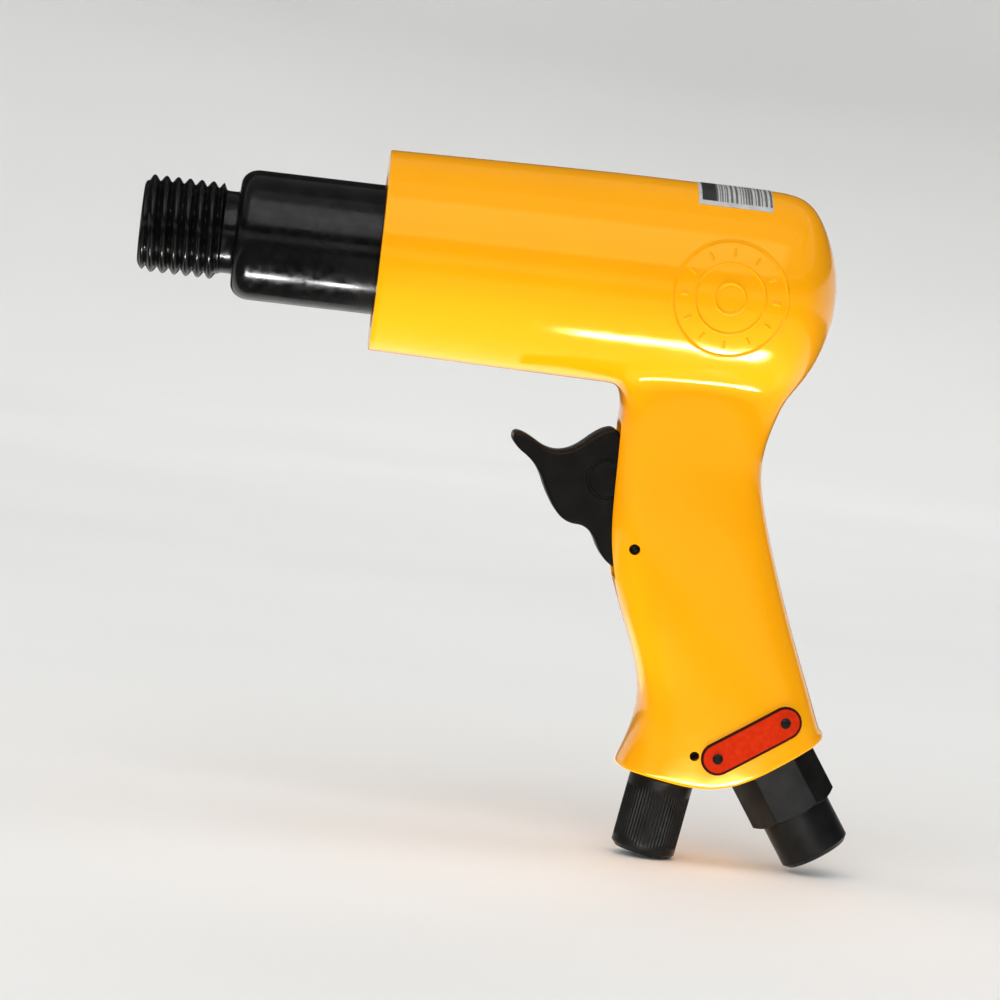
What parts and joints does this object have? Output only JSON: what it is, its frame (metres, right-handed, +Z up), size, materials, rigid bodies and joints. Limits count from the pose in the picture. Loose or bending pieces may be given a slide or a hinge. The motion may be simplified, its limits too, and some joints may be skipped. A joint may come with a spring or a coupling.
{
  "type": "pneumatic air hammer",
  "caption": "Pistol-grip pneumatic air hammer: yellow cast housing, bare steel barrel with a grooved retainer thread, black trigger, air regulator knob and hexagonal air inlet.",
  "frame": {"origin": "middle of the base of the bounding box, with the tool upright on its two lower fittings", "axes": "+Z up, the barrel lies along X with its muzzle towards -X, +Y is the tool's right side"},
  "size_m": [0.1856, 0.05, 0.163],
  "materials": {
    "yellow_paint": "gloss",
    "black_oxide_steel": "satin",
    "bright_steel": "satin",
    "black_trigger": "satin",
    "brass": "satin",
    "black_rubber": "matte",
    "red_label": "satin",
    "foil_label": "satin"
  },
  "bodies": {
    "hammer": {"housing": "yellow_paint", "barrel": "black_oxide_steel", "valve_front_plate": "bright_steel", "valve_rear_cap": "bright_steel", "valve_dowel_pin": "bright_steel", "valve_seal_ring": "black_rubber", "trigger_pin": "black_oxide_steel", "throttle_bushing": "brass", "throttle_bushing_o_ring": "black_rubber", "throttle_stem_o_ring": "black_rubber", "throttle_spring": "bright_steel", "regulator_pin": "black_oxide_steel", "inlet_bushing": "black_oxide_steel", "inlet_seal_ring": "black_rubber", "inlet_screen": "brass", "grip_label": "red_label", "label_rivet_1": "black_oxide_steel", "label_rivet_2": "black_oxide_steel", "serial_label": "foil_label"},
    "trigger": {"trigger": "black_trigger"},
    "throttle_valve": {"throttle_stem": "bright_steel", "throttle_valve_washer": "black_rubber", "throttle_valve_retainer": "brass"},
    "piston": {"piston": "bright_steel"},
    "valve_disc": {"valve_disc": "bright_steel"},
    "regulator": {"regulator_knob": "black_oxide_steel", "regulator_o_ring": "black_rubber"}
  },
  "joints": [
    {"name": "trigger_pull", "type": "hinge", "parent": "hammer", "child": "trigger", "pos_m": [0.03254, 0, 0.07437], "axis": [0, 1, 0], "range_deg": [0, 7.8], "stiffness_Nm_per_rad": 1.5, "springref_deg": -5.73},
    {"name": "throttle_slide", "type": "slide", "parent": "hammer", "child": "throttle_valve", "axis": [1, 0, 0], "range_m": [0, 0.0025], "deforming": ["throttle_spring"]},
    {"name": "piston_stroke", "type": "slide", "parent": "hammer", "child": "piston", "axis": [-1, 0, 0], "range_m": [0, 0.045]},
    {"name": "valve_disc_shuttle", "type": "slide", "parent": "hammer", "child": "valve_disc", "axis": [1, 0, 0], "range_m": [0, 0.0012]},
    {"name": "regulator_turn", "type": "hinge", "parent": "hammer", "child": "regulator", "pos_m": [0.04694, 0, 0.02009], "axis": [-0.1513, 0, -0.9885], "continuous": true}
  ],
  "couplings": [
    {"joint": "throttle_slide", "follows": "trigger_pull", "m_per_rad": 0.0173}
  ]
}
